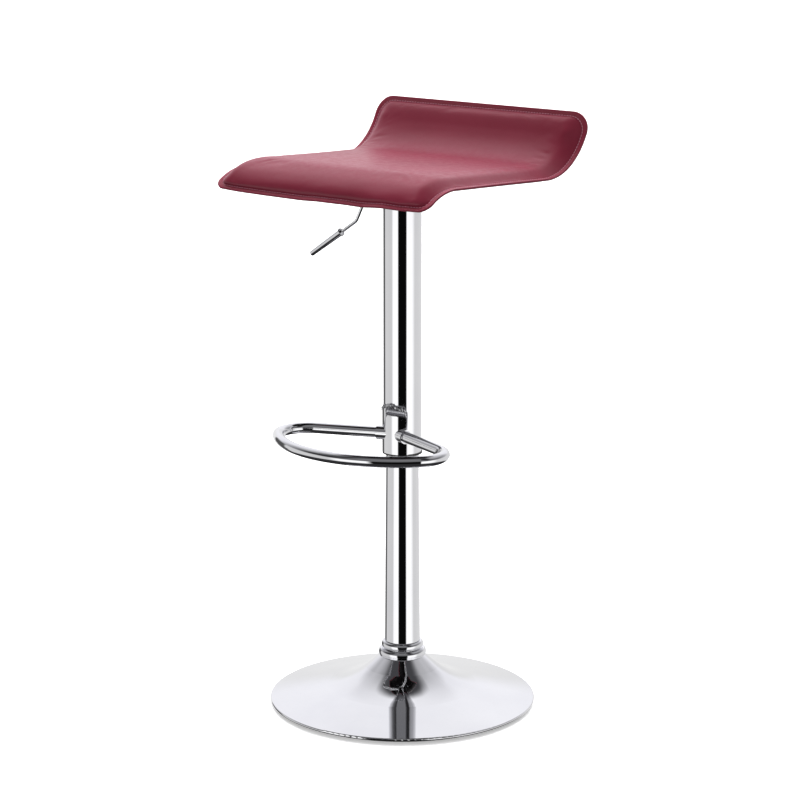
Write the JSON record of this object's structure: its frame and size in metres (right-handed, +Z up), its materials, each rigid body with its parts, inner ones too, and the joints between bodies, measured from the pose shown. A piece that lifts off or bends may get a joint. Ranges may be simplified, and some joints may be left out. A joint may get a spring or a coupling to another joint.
{
  "type": "adjustable swivel stool",
  "caption": "Gas-lift bar stool with a wave-shaped upholstered seat, loop footrest, side lever and round trumpet base.",
  "frame": {"origin": "on the floor, on the column's axis", "axes": "+Z up along the column, -Y towards the front of the seat, the lever on the -X side"},
  "size_m": [0.385, 0.385, 0.856],
  "materials": {
    "chrome": "polished chrome plate",
    "upholstery": "burgundy coated upholstery leather, satin",
    "undercover": "black coated cloth, matt",
    "foam": "open-cell foam",
    "plywood": "bare plywood",
    "black_plastic": "matt moulded",
    "nylon": "natural nylon",
    "black_rubber": "matt",
    "cast_iron": "as cast",
    "steel": "machined",
    "black_steel": "black powder coat",
    "zinc": "zinc plated"
  },
  "bodies": {
    "base": {"floor_ring": "black_rubber", "base_shell": "chrome", "counterweight": "cast_iron", "base_cover": "black_plastic", "cover_screws": "zinc", "column_socket": "steel", "socket_screws": "zinc", "column_collar": "chrome", "column_tube": "chrome", "column_end_plate": "steel", "lower_race": "steel", "bearing_balls": "steel", "ball_cage": "nylon", "column_guide": "nylon"},
    "piston": {"upper_race": "steel", "piston_rod": "steel", "bump_stop": "black_rubber", "piston_head": "steel", "piston_seal": "black_rubber", "rod_washer": "zinc", "rod_clip": "zinc"},
    "lift": {"gas_cylinder": "black_steel", "cylinder_end_cap": "steel", "sleeve_tube": "chrome", "sleeve_bush": "black_plastic", "footrest_saddle": "chrome", "footrest_ring": "chrome", "arm_collars": "chrome", "mechanism_plate": "black_steel", "mechanism_housing": "black_steel", "taper_hub": "black_steel", "pivot_pin": "steel", "pin_clip": "zinc", "seat_washers": "zinc", "seat_bolts": "zinc", "tee_nuts": "zinc", "seat_board": "plywood", "seat_foam": "foam", "seat_cover": "upholstery", "seat_undercover": "undercover"},
    "lever": {"lever_cam": "black_steel", "lever_rod": "chrome", "lever_handle": "chrome", "handle_ring": "chrome"},
    "button": {"valve_button": "black_steel"}
  },
  "joints": [
    {"name": "seat_swivel", "type": "hinge", "parent": "base", "child": "piston", "pos_m": [0, 0, 0.024], "axis": [0, 0, 1], "continuous": true},
    {"name": "height_lift", "type": "slide", "parent": "piston", "child": "lift", "axis": [0, 0, 1], "range_m": [-0.21, 0]},
    {"name": "lever_pull", "type": "hinge", "parent": "lift", "child": "lever", "pos_m": [-0.025, 0, 0.752], "axis": [0, 1, 0], "range_deg": [0, 8], "stiffness_Nm_per_rad": 1.5, "springref_deg": -8.59},
    {"name": "valve_press", "type": "slide", "parent": "lift", "child": "button", "axis": [0, 0, -1], "range_m": [0, 0.0036]}
  ],
  "couplings": [
    {"joint": "valve_press", "follows": "lever_pull", "m_per_rad": 0.025}
  ]
}
